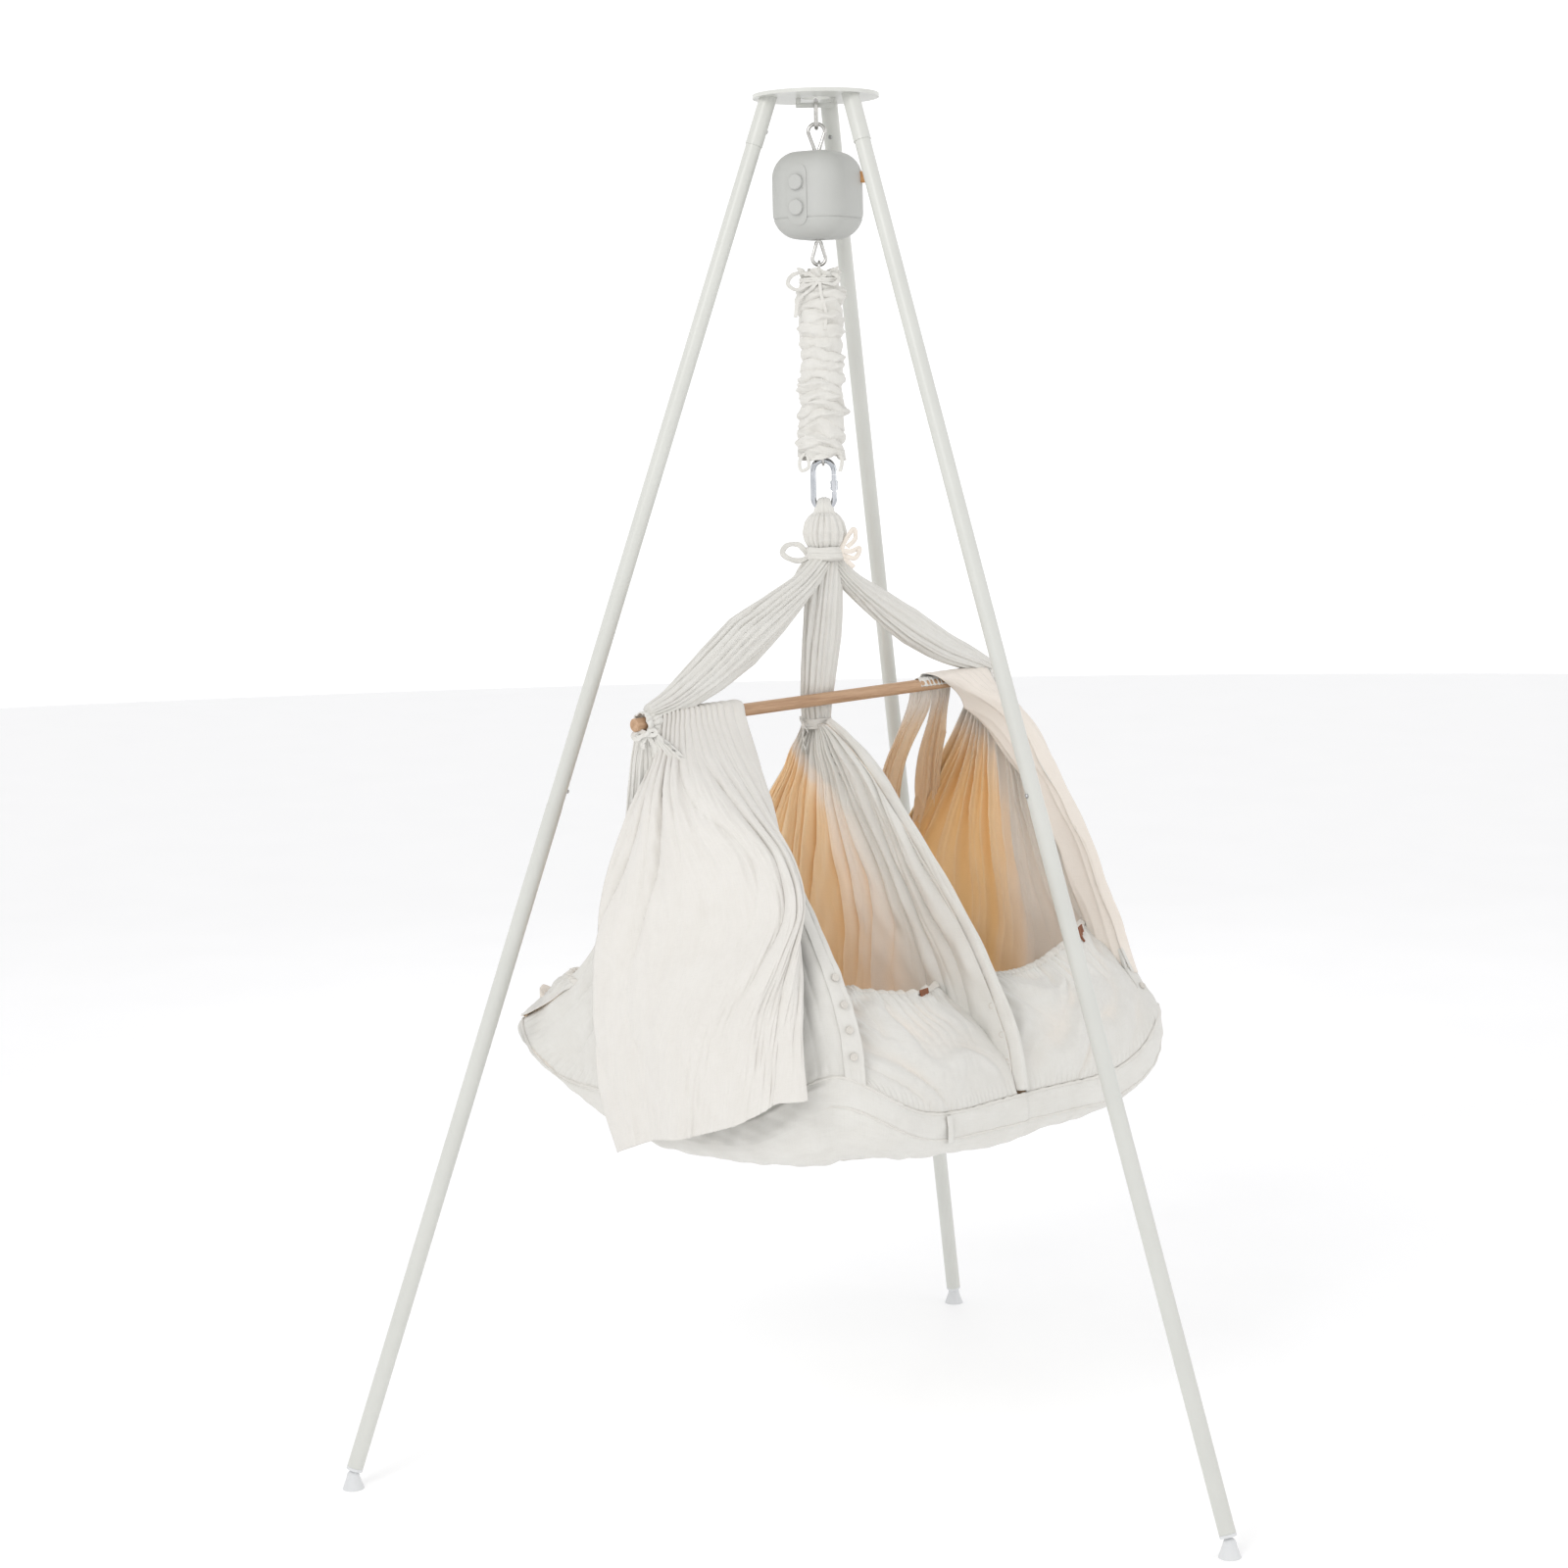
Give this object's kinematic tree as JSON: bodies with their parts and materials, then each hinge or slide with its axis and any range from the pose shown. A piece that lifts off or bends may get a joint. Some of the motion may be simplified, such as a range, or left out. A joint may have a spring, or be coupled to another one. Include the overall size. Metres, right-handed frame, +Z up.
{
  "type": "baby swing",
  "caption": "Twin fabric baby cradle hung from a wooden spreader bar, a sleeved coil spring and a rocking motor on a three-legged tube stand.",
  "frame": {"origin": "on the floor at the stand's vertical axis", "axes": "+Z up; X along the wooden spreader bar; the two front pouches face -Y"},
  "size_m": [1.2448, 1.0821, 1.9],
  "materials": {
    "stand_paint": "satin powder coat",
    "foot_rubber": "matte",
    "button_steel": "satin",
    "link_steel": "polished wire",
    "clip_chrome": "polished",
    "motor_plastic": "soft matte",
    "lens_plastic": "gloss",
    "inner_plastic": "matte",
    "inner_metal": "satin",
    "sleeve_fabric": "plain weave cotton",
    "cradle_fabric": "plain weave cotton",
    "drape_fabric": "light muslin",
    "mattress_fabric": "quilt cover",
    "bar_wood": "oiled beech"
  },
  "bodies": {
    "stand": {"top_plate": "stand_paint", "hook_bar": "stand_paint", "leg_socket_left": "stand_paint", "leg_socket_right": "stand_paint", "leg_socket_back": "stand_paint", "upper_leg_left": "stand_paint", "upper_leg_right": "stand_paint", "upper_leg_back": "stand_paint", "lower_leg_left": "stand_paint", "lower_leg_right": "stand_paint", "lower_leg_back": "stand_paint", "foot_left": "foot_rubber", "foot_right": "foot_rubber", "foot_back": "foot_rubber", "snap_springs": "button_steel"},
    "button_top_left": {"snap_top_left": "button_steel"},
    "button_mid_left": {"snap_mid_left": "button_steel"},
    "button_top_right": {"snap_top_right": "button_steel"},
    "button_mid_right": {"snap_mid_right": "button_steel"},
    "button_top_back": {"snap_top_back": "button_steel"},
    "button_mid_back": {"snap_mid_back": "button_steel"},
    "top_link": {"top_carabiner": "link_steel"},
    "top_gate": {"top_gate": "link_steel"},
    "motor": {"motor_eye": "link_steel", "motor_shell": "motor_plastic", "motor_base": "motor_plastic", "control_panel": "motor_plastic", "status_lens": "lens_plastic", "power_inlet": "inner_plastic", "circuit_board": "inner_plastic", "gearmotor": "inner_metal"},
    "speed_knob": {"speed_knob": "motor_plastic"},
    "timer_knob": {"timer_knob": "motor_plastic"},
    "drum": {"winding_drum": "inner_plastic"},
    "stroke": {"stroke_rod": "link_steel", "spring_hook_top": "link_steel", "spring": "link_steel", "spring_sleeve": "sleeve_fabric"},
    "hanger": {"spring_hook_low": "link_steel", "carabiner": "clip_chrome"},
    "gate": {"carabiner_gate": "clip_chrome"},
    "lock": {"lock_sleeve": "clip_chrome"},
    "cradle": {"head_loop": "cradle_fabric", "head_tie": "cradle_fabric", "centre_strand": "cradle_fabric", "left_strand": "cradle_fabric", "right_strand": "cradle_fabric", "centre_tie": "cradle_fabric", "left_tie": "cradle_fabric", "right_tie": "cradle_fabric", "spreader_bar": "bar_wood", "left_wall": "cradle_fabric", "divider": "cradle_fabric", "right_wall": "cradle_fabric", "pouches": "cradle_fabric", "left_drape": "drape_fabric", "right_drape": "drape_fabric", "base_cover": "cradle_fabric", "left_mattress": "mattress_fabric", "right_mattress": "mattress_fabric"}
  },
  "joints": [
    {"name": "press_top_left", "type": "slide", "parent": "stand", "child": "button_top_left", "axis": [0.8203, -0.4736, -0.3205], "range_m": [-0.003, 0], "stiffness_N_per_m": 600, "springref_m": 0.004},
    {"name": "press_mid_left", "type": "slide", "parent": "stand", "child": "button_mid_left", "axis": [0.8203, -0.4736, -0.3205], "range_m": [-0.003, 0], "stiffness_N_per_m": 600, "springref_m": 0.004},
    {"name": "press_top_right", "type": "slide", "parent": "stand", "child": "button_top_right", "axis": [0, 0.9473, -0.3205], "range_m": [-0.003, 0], "stiffness_N_per_m": 600, "springref_m": 0.004},
    {"name": "press_mid_right", "type": "slide", "parent": "stand", "child": "button_mid_right", "axis": [-0.9659, 0.2452, -0.0829], "range_m": [-0.003, 0], "stiffness_N_per_m": 600, "springref_m": 0.004},
    {"name": "press_top_back", "type": "slide", "parent": "stand", "child": "button_top_back", "axis": [-0.8203, -0.4736, -0.3205], "range_m": [-0.003, 0], "stiffness_N_per_m": 600, "springref_m": 0.004},
    {"name": "press_mid_back", "type": "slide", "parent": "stand", "child": "button_mid_back", "axis": [-0.8203, -0.4736, -0.3205], "range_m": [-0.003, 0], "stiffness_N_per_m": 600, "springref_m": 0.004},
    {"name": "sway_front", "type": "hinge", "parent": "stand", "child": "top_link", "pos_m": [0, 0, 1.8857], "axis": [0.7071, -0.7071, 0], "range_deg": [-1, 1]},
    {"name": "top_gate_hinge", "type": "hinge", "parent": "top_link", "child": "top_gate", "pos_m": [0.00495, 0.00495, 1.8645], "axis": [-0.7071, 0.7071, 0], "range_deg": [-20, 0], "stiffness_Nm_per_rad": 0.02, "springref_deg": 20.05},
    {"name": "sway_side", "type": "hinge", "parent": "top_link", "child": "motor", "pos_m": [0, 0, 1.8547], "axis": [0.7071, 0.7071, 0], "range_deg": [-1, 1]},
    {"name": "speed_turn", "type": "hinge", "parent": "motor", "child": "speed_knob", "pos_m": [-0.05602, -0.01501, 1.7785], "axis": [-0.9659, -0.2588, 0], "range_deg": [0, 270]},
    {"name": "timer_turn", "type": "hinge", "parent": "motor", "child": "timer_knob", "pos_m": [-0.05602, -0.01501, 1.7445], "axis": [-0.9659, -0.2588, 0], "range_deg": [0, 270]},
    {"name": "drum_turn", "type": "hinge", "parent": "motor", "child": "drum", "pos_m": [0.01545, 0.00414, 1.752], "axis": [0.2588, -0.9659, 0], "range_deg": [0, 96]},
    {"name": "stroke_slide", "type": "slide", "parent": "motor", "child": "stroke", "axis": [0, 0, 1], "range_m": [-0.02, 0]},
    {"name": "bounce", "type": "slide", "parent": "stroke", "child": "hanger", "axis": [0, 0, 1], "range_m": [-0.2, 0], "stiffness_N_per_m": 400, "springref_m": 0.2, "deforming": ["spring", "spring_sleeve"]},
    {"name": "gate_hinge", "type": "hinge", "parent": "hanger", "child": "gate", "pos_m": [0.01025, -0.01025, 1.353], "axis": [0.7071, 0.7071, 0], "range_deg": [-25, 0], "stiffness_Nm_per_rad": 0.05, "springref_deg": 20.05},
    {"name": "lock_slide", "type": "slide", "parent": "gate", "child": "lock", "axis": [0, 0, 1], "range_m": [0, 0.012]},
    {"name": "cradle_turn", "type": "hinge", "parent": "hanger", "child": "cradle", "pos_m": [0, 0, 1.334], "axis": [0, 0, 1], "range_deg": [-4, 4]}
  ],
  "couplings": [
    {"joint": "drum_turn", "follows": "stroke_slide", "rad_per_m": -83.333}
  ]
}
